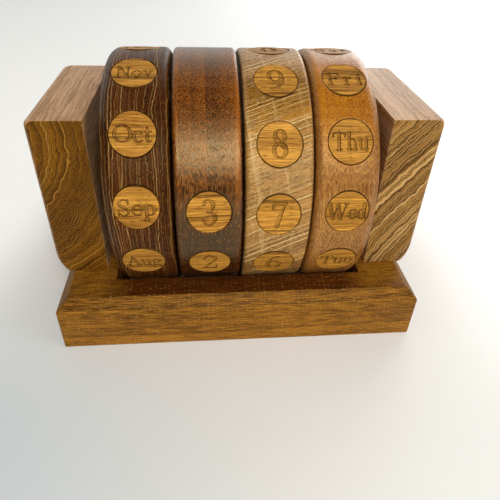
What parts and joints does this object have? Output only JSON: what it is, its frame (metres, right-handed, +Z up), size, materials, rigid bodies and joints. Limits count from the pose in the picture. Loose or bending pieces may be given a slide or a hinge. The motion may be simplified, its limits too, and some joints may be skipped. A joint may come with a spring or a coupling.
{
  "type": "perpetual desk calendar",
  "caption": "Wooden desk calendar: wide wheels on one axle between two end blocks, sunk in a chamfered base, turn to show month, day and weekday on round plugs.",
  "frame": {"origin": "on the table, at the centre of the object's bounding box seen from above, under the middle of the axle", "axes": "+X along the axle to the reader's right, +Y away from the reader, +Z up"},
  "size_m": [0.2356, 0.1674, 0.1621],
  "materials": {
    "base_teak": "satin oiled, long grain along X",
    "block_endgrain": "satin oiled, end grain on the front and back",
    "dowel": "smooth, unfinished hardwood dowel",
    "collar_wood": "satin",
    "washer_fibre": "matte pale fibre",
    "screw_brass": "plain turned",
    "month_wood": "satin, very dark brown with thin light lines round the rim",
    "tens_wood": "gloss, dark reddish brown",
    "units_wood": "satin, light golden tan with slanting light lines",
    "weekday_wood": "satin, warm orange-brown with short dark pores",
    "plug_wood": "satin, honey coloured with straight grain along X"
  },
  "bodies": {
    "stand": {"base": "base_teak", "end_block_left": "block_endgrain", "end_block_right": "block_endgrain", "axle": "dowel", "collar_left": "collar_wood", "collar_right": "collar_wood", "washer_left": "washer_fibre", "washer_middle": "washer_fibre", "washer_right": "washer_fibre", "base_screws": "screw_brass"},
    "months": {"month_wheel": "month_wood", "plug_jan": "plug_wood", "plug_feb": "plug_wood", "plug_mar": "plug_wood", "plug_apr": "plug_wood", "plug_may": "plug_wood", "plug_jun": "plug_wood", "plug_jul": "plug_wood", "plug_aug": "plug_wood", "plug_sep": "plug_wood", "plug_oct": "plug_wood", "plug_nov": "plug_wood", "plug_dec": "plug_wood"},
    "tens": {"tens_wheel": "tens_wood", "plug_ten_1": "plug_wood", "plug_ten_2": "plug_wood", "plug_ten_3": "plug_wood"},
    "units": {"units_wheel": "units_wood", "plug_unit_0": "plug_wood", "plug_unit_1": "plug_wood", "plug_unit_2": "plug_wood", "plug_unit_3": "plug_wood", "plug_unit_4": "plug_wood", "plug_unit_5": "plug_wood", "plug_unit_6": "plug_wood", "plug_unit_7": "plug_wood", "plug_unit_8": "plug_wood", "plug_unit_9": "plug_wood"},
    "weekdays": {"weekday_wheel": "weekday_wood", "plug_sun": "plug_wood", "plug_mon": "plug_wood", "plug_tue": "plug_wood", "plug_wed": "plug_wood", "plug_thu": "plug_wood", "plug_fri": "plug_wood", "plug_sat": "plug_wood"}
  },
  "joints": [
    {"name": "month_turn", "type": "hinge", "parent": "stand", "child": "months", "pos_m": [0, 0, 0.085], "axis": [1, 0, 0], "continuous": true},
    {"name": "tens_turn", "type": "hinge", "parent": "stand", "child": "tens", "pos_m": [0, 0, 0.085], "axis": [1, 0, 0], "continuous": true},
    {"name": "units_turn", "type": "hinge", "parent": "stand", "child": "units", "pos_m": [0, 0, 0.085], "axis": [1, 0, 0], "continuous": true},
    {"name": "weekday_turn", "type": "hinge", "parent": "stand", "child": "weekdays", "pos_m": [0, 0, 0.085], "axis": [1, 0, 0], "continuous": true}
  ]
}
